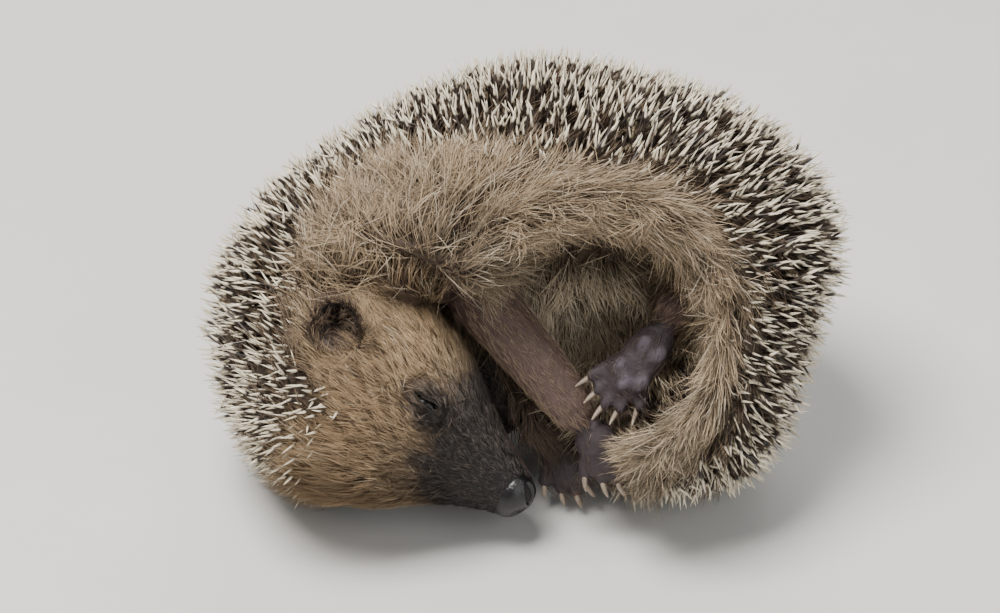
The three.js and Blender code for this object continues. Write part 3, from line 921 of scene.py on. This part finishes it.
def fur(name, roots, length, width, lift, tip_lift, lock=14, lock_spread=0.35, spread=0.12, swirl=0.4,
        gather=0.55, rings_at=(0, 0.4, 0.75, 1.0), pieces=1, bright=(0.75, 1.2), pale=0.0, dark=0.0,
        room=0.8, stray=0.08, tone=None, way=None, colours=None):
    """Hair in locks: each lock has one way to lie, and its hairs draw together towards their tips.
    A hair that would stand out of the body's form by more than room lies flatter and shorter."""
    n = len(roots.q)
    shares = zones(roots.q)
    centres = RNG.choice(n, max(n // lock, 1), replace=False)
    mine = nearest(roots.q, roots.q[centres])
    m = len(centres)
    turn = RNG.normal(0, lock_spread, m)[mine] + RNG.normal(0, spread, n)
    loose = RNG.random(n) < stray
    turn[loose] += RNG.normal(0, 0.7, loose.sum())
    lie = coat_lie(roots.q, roots.n, shares) if way is None else way
    lie = unit(lie - (lie * roots.n).sum(1, keepdims=True) * roots.n)
    lie = turned(lie, roots.n, turn)
    size = (uniform(n, *length) if isinstance(length, tuple) else length) * uniform(m, 0.85, 1.12)[mine]
    low, high = lift
    lift = low + (high - low) * (RNG.random(m)[mine] + RNG.random(n)) / 2
    tip_lift = (uniform(m, *tip_lift)[mine] + uniform(n, *tip_lift)) / 2
    lift[loose] += 0.2
    sway = RNG.normal(0, swirl, m)[mine] + RNG.normal(0, swirl * 0.4, n)
    pull = (roots.q[centres][mine] - roots.q) * gather
    t = np.array(rings_at)
    across = np.cross(roots.n, lie)
    room = room if isinstance(room, np.ndarray) else np.full(n, room)
    bad = np.arange(n)
    for _ in range(4):
        spine, ways = spines(roots, lie, size, across, t, lift, tip_lift, sway, pull)
        over = past_surface(spine[bad, -1])
        bad = bad[over > room[bad]]
        if not len(bad):
            break
        lift[bad] *= 0.6
        tip_lift[bad] -= 0.3
        size[bad] *= 0.85
    size[bad] *= 0.4
    spine, ways = spines(roots, lie, size, across, t, lift, tip_lift, sway, pull)
    side = unit(np.cross(roots.n[:, None], ways))
    top = np.cross(ways, side) * 0.7
    taper = np.interp(t, [0, 0.25, 0.6, 0.85, 1], [0.75, 1.0, 0.85, 0.5, 0.0])
    radii = (uniform(n, *width) / 2)[:, None] * taper[None]
    light = (uniform(m, *bright)[mine] + uniform(n, *bright)) / 2
    base, end = colours or (zone_colour(shares, 0), zone_colour(shares, 1))
    root_colour = base * uniform(n, 0.75, 1.15)[:, None]
    tip_colour = end * light[:, None]
    # tone scales each hair's colour: painted shade on the flank, random lighter and darker hairs on the
    # muzzle
    if tone is not None:
        root_colour, tip_colour = root_colour * tone[:, None], tip_colour * tone[:, None]
    pick = RNG.random(n)
    plain = 1 - shares["muzzle"]
    chosen = pick < pale * plain
    tip_colour[chosen] = mix(tip_colour[chosen], paint(226, 214, 192), 0.55)
    tip_colour[pick > 1 - dark] *= 0.35
    shade = np.interp(t, [0, 0.25, 0.7, 1], [0.0, 0.3, 0.9, 1.0])[None, :, None]
    colour = mix(root_colour[:, None], tip_colour[:, None], shade)
    add_strands(name, pieces, TUFT_PATCH, t, roots.uv, radii, spine, side, top, colour)


z = middle_zones
lid_gap = slit_distance(middle, 2.6, -4.4, 4.4)
clear = (1 - np.clip((groove + lips)[tri].max(1) * 1.4, 0, 1)) * step(0.85, 1.5, lid_gap)
for name in EARS:
    clear = clear * step(0.8, 0.9, ear_radius(middle, name))
back_mid = head_coords(middle)[0]

# Flank: long soft hair that crosses and overlaps.
roots = scatter(z["flank"] * clear * mix(2.2, 5.8, step(-22, -6, middle[:, 2])))
margin = fur_margin(roots.q)
length = uniform(len(margin), 9.0, 15.0) * mix(0.6, 1.0, step(0, 7, margin))
# Painted shade: the flank hair is darker in the fold at the neck and low in the hollow of the curl
shade = mix(FOLD_SHADE, 1.0, step(2, 9, flat_distance(roots.q, NECK_FOLD)))
shade = shade * mix(FOLD_SHADE, 1.0, step(8, 26, flat_distance(roots.q, LOW_LIP)))
room = np.where((flat_distance(roots.q, POLE) < 36) & (roots.q[:, 2] > -5), 5.0, 1.0)
fur("flank_fur", roots, length, (0.12, 0.22), (0.3, 0.85), (-0.3, 0.3), lock_spread=0.5, swirl=0.6,
    pieces=4, bright=(0.55, 1.3), pale=0.14, dark=0.2, stray=0.12, room=room, tone=shade)
# Face and muzzle: short, close hair, longer on the cheeks and below the ears.
roots = scatter((z["face"] * 8.6 + z["muzzle"] * 10.5) * clear * step(1.8, 3.6, back_mid))
back, p, _ = head_coords(roots.q)
n = len(back)
length = np.interp(back, [2, 12, 22, 34, 48, 60], [1.2, 2.1, 3.2, 4.4, 6.5, 9.0])
length = length * mix(1.0, 2.1, step(-7, -17, p))
dark = zones(roots.q)["muzzle"]
shade = mix(1.0, np.where(RNG.random(n) < 0.25, uniform(n, 1.5, 3.0), uniform(n, 0.5, 1.1)), dark)
length = length * mix(1.0, 1.35, dark) * uniform(n, 0.8, 1.25)
cheek = step(-8, -16, p)
fur("face_fur", roots, length, (0.1, 0.17), (mix(0.22, 0.5, cheek), mix(0.5, 0.95, cheek)), (-0.1, 0.25),
    lock=10, lock_spread=0.2, swirl=0.25, gather=0.35, rings_at=(0, 0.5, 1), pieces=3, pale=0.04, dark=0.1,
    stray=0.04, tone=shade)
# Belly.
roots = scatter(z["belly"] * 3.1)
fur("belly_fur", roots, (7.0, 12.0), (0.16, 0.28), (0.25, 0.6), (-0.2, 0.2), lock_spread=0.2, pale=0.15,
    dark=0.05, room=6.0)
# Throat and chest, between the muzzle and the forelegs. The hair is real; its dark colour is partly painted
# shade for the shadow under the head.
gap = np.linalg.norm((middle - CHEST) / np.array([10, 12, 14]), axis=1)
roots = scatter(step(1.15, 0.85, gap) * (1 - z["muzzle"] - z["paw"]) * clear * 5.0)
fur("throat_fur", roots, (5.0, 10.0), (0.16, 0.28), (0.35, 0.9), (0.0, 0.5), lock_spread=0.35, room=8.0,
    colours=(paint(44, 36, 30), paint(84, 68, 54)))
# Legs and feet: thin and sparse.
roots = scatter(z["limb"] * 2.8 + z["paw"] * 0.8)
fur("limb_fur", roots, (2.4, 5.0), (0.09, 0.15), (0.15, 0.4), (-0.05, 0.15), lock=6, lock_spread=0.12,
    swirl=0.2, rings_at=(0, 0.5, 1), room=20.0, stray=0.03)
# Soft hair between the quills.
by_ear = np.minimum(ear_radius(middle, "left"), ear_radius(middle, "right"))
roots = scatter(z["quilled"] * (0.42 + 3.0 * step(2.1, 1.6, by_ear) * (by_ear > 0.85)))
fur("under_fur", roots, (7.0, 10.5), (0.2, 0.32), (0.7, 1.3), (0.3, 1.0), lock=5, lock_spread=0.6,
    rings_at=(0, 0.5, 1), bright=(0.6, 1.15))


# Quills: pale at the skin, banded dark, pale at the tip.
def to_surface(q, way):
    """Distance from the skin out through the surface of the body's solids."""
    start, way = to_world(q), way @ BASIS
    out = np.zeros(len(q))
    for i in range(len(q)):
        hit = outside.ray_cast(Vector(start[i]), Vector(way[i]), 0.03)
        out[i] = 10.0 if hit[0] is None else hit[3] / MM
    return out


density = np.clip(z["quilled"], 0, 1) ** 0.5 * 3.6 * (z["quilled"] > 0.25) * (by_ear > 1.7)
roots = thinned(scatter(density), QUILL_SPACING)
n = len(roots.q)
radial, caudal = round_pole(roots.q)
way = unit(roots.n + 0.75 * radial + 0.3 * caudal)
way = unit(way + RNG.normal(0, 0.27, (n, 3)))
reach = to_surface(roots.q, way)
length = np.clip(reach, 6, 17) + uniform(n, -3.4, 0.7)
for _ in range(6):
    length = np.where(past_box(roots.q + way * length[:, None]) > QUILL_PAST_BOX, length * 0.85, length)
side = unit(np.cross(way, RNG.normal(0, 1, (n, 3))))
bend = unit(np.cross(side, way)) * (uniform(n, -0.03, 0.03) * length)[:, None]
from_tip = np.array([0.0, 1.2, 2.5, 3.2, 8.6, 9.6])
QUILL_RINGS = len(from_tip) + 1
tip_share = from_tip[None] / length[:, None] * uniform(n, 0.7, 1.25)[:, None]
at = np.clip(1 - tip_share[:, ::-1], 0.02, 1)
at = np.hstack([np.zeros((n, 1)), at])
at = np.maximum.accumulate(at + np.arange(QUILL_RINGS) * 1e-3, 1)
at = at / at[:, -1:]
spine = roots.q[:, None] - roots.n[:, None] * 0.6 + way[:, None] * (at * length[:, None])[:, :, None]
spine = spine + bend[:, None] * (at * at)[:, :, None]
thick = uniform(n, 0.22, 0.34)
radii = thick[:, None] * np.array([0.8, 1.0, 1.0, 1.0, 0.92, 0.6, 0.0])[None]
cream = paint(196, 178, 148)[None] * uniform(n, 0.7, 1.1)[:, None]
band = paint(46, 36, 30)[None] * uniform(n, 0.6, 1.5)[:, None]
point = paint(230, 217, 192)[None] * uniform(n, 0.7, 1.12)[:, None]
colour = np.stack([cream * 0.8, cream, band, band, point, point, point * 0.9], 1)
side, top = (np.repeat(v[:, None], QUILL_RINGS, 1) for v in (side, np.cross(way, side)))
add_strands("quills", 2, QUILL_PATCH, [0, 0.3, 0.4, 0.65, 0.75, 0.92, 1], roots.uv, radii, spine, side, top,
            colour)


# Nose pad
def nose_pad():
    pts, faces = sphere_grid(112, 84)
    left, front, crown = pts[:, 0], pts[:, 1], pts[:, 2]
    shape = np.stack([left * 5.2 * (1 - 0.14 * step(0, 1, -crown)), crown * 4.7, front * 4.1], 1)
    face = step(-0.3, 0.4, front)
    groove = bell(shape[:, 0], 0.36) * step(1.2, -0.8, shape[:, 1]) * face
    bridge = bell(shape[:, 0]) * step(0.2, 2.8, shape[:, 1]) * face
    shape[:, 2] -= 0.7 * groove + 0.35 * bridge
    for hand in (1, -1):
        look = unit([hand * 0.74, 0.14, 0.62])
        back = unit(np.cross(look, np.cross([0.0, 0.0, -1.0], look)))
        up = np.cross(look, back)
        p3 = np.stack([left, crown, front], 1)
        t1, t2 = p3 @ back, (p3 @ up) + 0.25 * (p3 @ back)
        seen = (p3 @ look) > 0
        pit = np.exp(-((t1 / 0.36) ** 2 + (t2 / 0.2) ** 2) ** 1.5) * seen
        rim = bell(np.sqrt((t1 / 0.52) ** 2 + (t2 / 0.36) ** 2) - 1, 0.3) * seen
        shape += look * (0.32 * rim - 2.3 * pit)[:, None]
    centre = side_point(3.3, 0, 0.4) - P_AXIS * 0.7 + np.array([-0.9, 1.0, 0.6])
    placed = centre + shape[:, :1] * LEFT + shape[:, 1:2] * CROWN + shape[:, 2:3] * MUZZLE
    return placed, outward(placed - placed.mean(0), faces)


nose = make_piece("nose_pad", *nose_pad())


# Eyes behind the lids
def eyeball(side):
    out = eye_out(side)
    return blob(eye_place(side) - out * 0.7, [EYE_RADIUS] * 3, [MUZZLE, np.cross(out, MUZZLE), out], 48, 32)


eyes = []
for name, side in (("left", 1), ("right", -1)):
    eyes.append(make_piece(f"eyeball_{name}", *eyeball(side)))


# Ears: rounded cups with a thick rim, a fold at the front and the canal, with painted shade in the canal
# and under the flap at the top
def ear_shape(name):
    centre, across, rise, out = ear_frame(name)
    pts, faces = sphere_grid(96, 72)
    inner = pts[:, 1] > 0
    r, x, y = on_ring(pts)
    half_w = EAR_HALF_WIDTH - 0.5 * step(0, 1, -y) + 0.3 * np.sin(3 * np.arctan2(y, x) + 0.6)
    half_h = np.where(y > 0, EAR_ABOVE, EAR_BELOW)
    u, v = x * half_w * r, y * half_h * r
    dish = (3.4 + 0.9 * step(1, -4, v)) * (1 - r ** 2.6)
    w = np.where(inner, -dish, -dish - 0.9 * np.sqrt(np.clip(1 - r ** 6, 0, 1)))
    fold = bell(u + 2.0 - 0.12 * v, 0.8) * step(-3.5, 0, v) * step(5.4, 2.5, v)
    fold = fold + 0.7 * bell(u - 2.4 + 0.25 * v, 0.7) * step(-1.5, 1, v) * step(5.0, 2.0, v)
    ripple_up = 0.22 * np.sin(v * 2.4 + 0.5 * u) * step(0.0, 2.5, v) * step(0.95, 0.6, r)
    w = w + np.where(inner, 0.8 * fold + ripple_up, 0)
    canal = np.exp(-((u - 0.6) / 2.9) ** 2 - ((v + 2.7) / 2.0) ** 2)
    w = w - np.where(inner, 1.7 * canal, 2.2 * canal)
    flap = np.exp(-((u - 2.6) / 3.2) ** 2 - ((v + 5.2) / 1.3) ** 2)
    w = w + 1.9 * flap + 0.5 * step(2.0, 6.5, v)
    placed = centre + across * u[:, None] + rise * v[:, None] + out * (w - 1.5)[:, None]
    return placed, outward(placed - placed.mean(0), faces), np.stack([u, v, inner, canal, r], 1)


ears = []
for name in EARS:
    pts, faces, info = ear_shape(name)
    ears.append(make_piece(f"ear_skin_{name}", pts, faces))
    u, v, inner, canal, r = info.T
    colour = mix(paint(78, 60, 47), paint(74, 64, 60), (inner * step(-1.0, 3.0, v))[:, None])
    # Painted shade: the upper part of the inner cup, under the flap, is painted near black
    colour = mix(colour, paint(24, 17, 14), (inner * step(3.0, -1.0, v))[:, None] * 0.95)
    colour = mix(colour, paint(70, 53, 41), step(0.8, 0.95, r)[:, None] * 0.8)
    # Painted shade: the canal is painted near black
    colour = mix(colour, paint(12, 9, 8), np.clip(canal * 2.2 * inner, 0, 1)[:, None])
    add_tint(ears[-1].data, colour)
    centre, _, _, out = ear_frame(name)
    edge = RNG.choice(np.nonzero((r > 0.55) & (v > -4.8))[0], EAR_HAIRS)
    place = pts[edge] + RNG.normal(0, 0.12, (len(edge), 3))
    spoke = unit(place - centre - ((place - centre) @ out)[:, None] * out)
    facing = unit(spoke * 0.3 + out * np.where(inner[edge] > 0, 1.0, -0.4)[:, None])
    rim = Roots(place, facing, np.stack([u[edge], v[edge]], 1))
    inward = np.where(RNG.random(len(edge)) < 0.5, -1.0, 0.8)[:, None]
    fur(f"ear_fur_{name}", rim, (1.8, 4.2), (0.09, 0.15), (0.15, 0.6), (-0.1, 0.3), lock=6, lock_spread=0.4,
        rings_at=(0, 0.5, 1), room=20.0, way=spoke * inward - 0.5 * MUZZLE,
        colours=(paint(34, 26, 21), paint(98, 78, 60)))

# Claws
claw_shapes = []
for f in feet.values():
    for a, b in f.toes():
        reach = unit(np.array([b[0] - a[0], b[1] - a[1]]))
        line = []
        for d, drop in ((-1.0, 0.35), (f.claw * 0.35, 0.1), (f.claw * 0.75, -0.65)):
            line.append(f.at(b[0] + reach[0] * d, b[1] + reach[1] * d, -drop - 0.1))
        claw_shapes.append(tube(line, [0.52, 0.52, 0.42, 0.28, 0.15], f.face, 12, 12, 0.12, 1.15))
claws = make_piece("claws", *merged(claw_shapes))


# Materials
class Stuff:
    def __init__(self, name, roughness, **values):
        self.material = bpy.data.materials.new(name)
        self.material.use_nodes = True
        self.nodes, self.links = self.material.node_tree.nodes, self.material.node_tree.links
        self.bsdf = self.nodes["Principled BSDF"]
        self.bsdf.inputs["Roughness"].default_value = roughness
        for key, value in values.items():
            self.bsdf.inputs[key.replace("_", " ")].default_value = value
        self.place = self.nodes.new("ShaderNodeTexCoord").outputs["Object"]

    def node(self, kind, result, feed, source, **values):
        """The result of a new node that is fed by the source and has these values."""
        node = self.nodes.new("ShaderNode" + kind)
        for key, value in values.items():
            node.inputs[key.replace("_", " ")].default_value = value
        self.links.new(source, node.inputs[feed])
        return node.outputs[result]

    def noise(self, scale):
        return self.node("TexNoise", "Fac", "Vector", self.place, Scale=scale, Detail=3.0, Roughness=0.55)

    def cells(self, scale):
        return self.node("TexVoronoi", "Distance", "Vector", self.place, Scale=scale)

    def remap(self, value, a, b, c, d):
        return self.node("MapRange", "Result", "Value", value, From_Min=a, From_Max=b, To_Min=c, To_Max=d)

    def tint(self):
        node = self.nodes.new("ShaderNodeAttribute")
        node.attribute_name = "Tint"
        return node.outputs["Color"]

    def solid(self, colour):
        node = self.nodes.new("ShaderNodeRGB")
        node.outputs[0].default_value = (*colour, 1)
        return node.outputs[0]

    def shade(self, colour, factor):
        """Colour times a value that varies about one."""
        node = self.nodes.new("ShaderNodeVectorMath")
        node.operation = "SCALE"
        self.links.new(colour, node.inputs[0])
        self.links.new(factor, node.inputs["Scale"])
        return node.outputs[0]

    def base(self, colour):
        self.links.new(colour, self.bsdf.inputs["Base Color"])

    def bump(self, height, strength, distance):
        normal = self.node("Bump", "Normal", "Height", height, Strength=strength, Distance=distance)
        self.links.new(normal, self.bsdf.inputs["Normal"])


def simple(name, colour, roughness, scale, spread=0.25, bump=0.3, depth=0.0002, **values):
    s = Stuff(name, roughness, **values)
    grain = s.noise(scale)
    plain = s.tint() if colour is None else s.solid(colour)
    s.base(s.shade(plain, s.remap(grain, 0.2, 0.8, 1 - spread, 1 + spread)))
    s.bump(grain, bump, depth)
    return s.material


skin_stuff = simple("skin", None, 0.62, 560, 0.3, 0.75, 0.0006, Specular_IOR_Level=0.3)
fur_stuff = simple("fur", None, 0.62, 420, 0.16, 0.1, 0.0001)
quill_stuff = simple("quill", None, 0.38, 700, 0.12, 0.15, 0.0001)
ear_stuff = simple("ear", None, 0.75, 1100, 0.3, 0.7, 0.0003, Specular_IOR_Level=0.3)
claw_stuff = simple("claw", paint(142, 126, 110), 0.35, 800, 0.2, 0.2, 0.0001)
eye_stuff = simple("eye", paint(8, 6, 5), 0.3, 300, 0.2, 0.02, 0.00002, Specular_IOR_Level=0.25)
wet = Stuff("nose", 0.36)
grains = wet.cells(1900)
wet.base(wet.shade(wet.solid(paint(16, 14, 15)), wet.remap(grains, 0.0, 0.6, 1.25, 0.75)))
wet.bump(wet.remap(grains, 0.0, 0.55, 1.0, 0.0), 0.22, 0.0002)


def dress(ob, stuff, nodes=()):
    ob.data.materials.clear()
    ob.data.materials.append(stuff)
    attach(ob, "root")
    if nodes:
        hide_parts(*nodes)


dress(skin, skin_stuff, BODY_NODES + LIMB_NODES)
for ob in coat:
    if ob.name.startswith("quills"):
        dress(ob, quill_stuff)
    else:
        dress(ob, fur_stuff)
dress(nose, wet.material, ["nose"])
for k, hand in enumerate(("left", "right")):
    dress(eyes[k], eye_stuff, [f"eye_{hand}"])
    dress(ears[k], ear_stuff, [f"ear_{hand}"])
dress(claws, claw_stuff)
for ob in [nose, *eyes, *ears, claws]:
    smooth(ob.data)

# Floor, light and camera
floor_mesh = make_mesh("floor", np.array([[-3, -3, 0], [3, -3, 0], [3, 3, 0], [-3, 3, 0]]), [(0, 1, 2, 3)])
floor = make_object("floor", floor_mesh)
floor_mesh.materials.append(simple("floor", paint(206, 203, 198), 0.8, 30, 0.03, 0.05, 0.0005))


def area_light(name, place, target, size, power, colour=(1, 1, 1)):
    data = bpy.data.lights.new(name, "AREA")
    data.shape, data.size, data.energy, data.color = "SQUARE", size, power, colour
    ob = bpy.data.objects.new(name, data)
    bpy.context.scene.collection.objects.link(ob)
    ob.location = place
    ob.rotation_euler = (Vector(target) - Vector(place)).to_track_quat("-Z", "Y").to_euler()
    return ob


middle_of_body = (0, 0, 0.035)
key = area_light("key", (-0.22, -0.12, 0.75), middle_of_body, 0.36, 12.5, (1, 0.985, 0.96))
fill = area_light("fill", (0.5, -0.6, 0.45), middle_of_body, 0.7, 4.0, (0.95, 0.98, 1))
back_light = area_light("rear", (0.1, 0.7, 0.5), middle_of_body, 0.5, 4.0)
world = bpy.data.worlds.new("sky")
world.use_nodes = True
world.node_tree.nodes["Background"].inputs["Color"].default_value = (0.80, 0.82, 0.85, 1)
world.node_tree.nodes["Background"].inputs["Strength"].default_value = 0.3
bpy.context.scene.world = world

FOCAL_LENGTH, CAMERA_DISTANCE, CAMERA_HEIGHT = 113.7, 0.6, math.radians(35)
lens = bpy.data.cameras.new("camera")
lens.lens, lens.sensor_width, lens.clip_start = FOCAL_LENGTH, 36, 0.01
camera = bpy.data.objects.new("camera", lens)
bpy.context.scene.collection.objects.link(camera)
sight = np.array([0, math.cos(CAMERA_HEIGHT), -math.sin(CAMERA_HEIGHT)])
up = np.array([0, math.sin(CAMERA_HEIGHT), math.cos(CAMERA_HEIGHT)])
aim = (CENTRE + np.array([-5.5, 0, 0]) - 5.0 * up) * MM
camera.location = Vector(aim - sight * CAMERA_DISTANCE)
camera.rotation_euler = Vector(sight).to_track_quat("-Z", "Y").to_euler()
bpy.context.scene.camera = camera
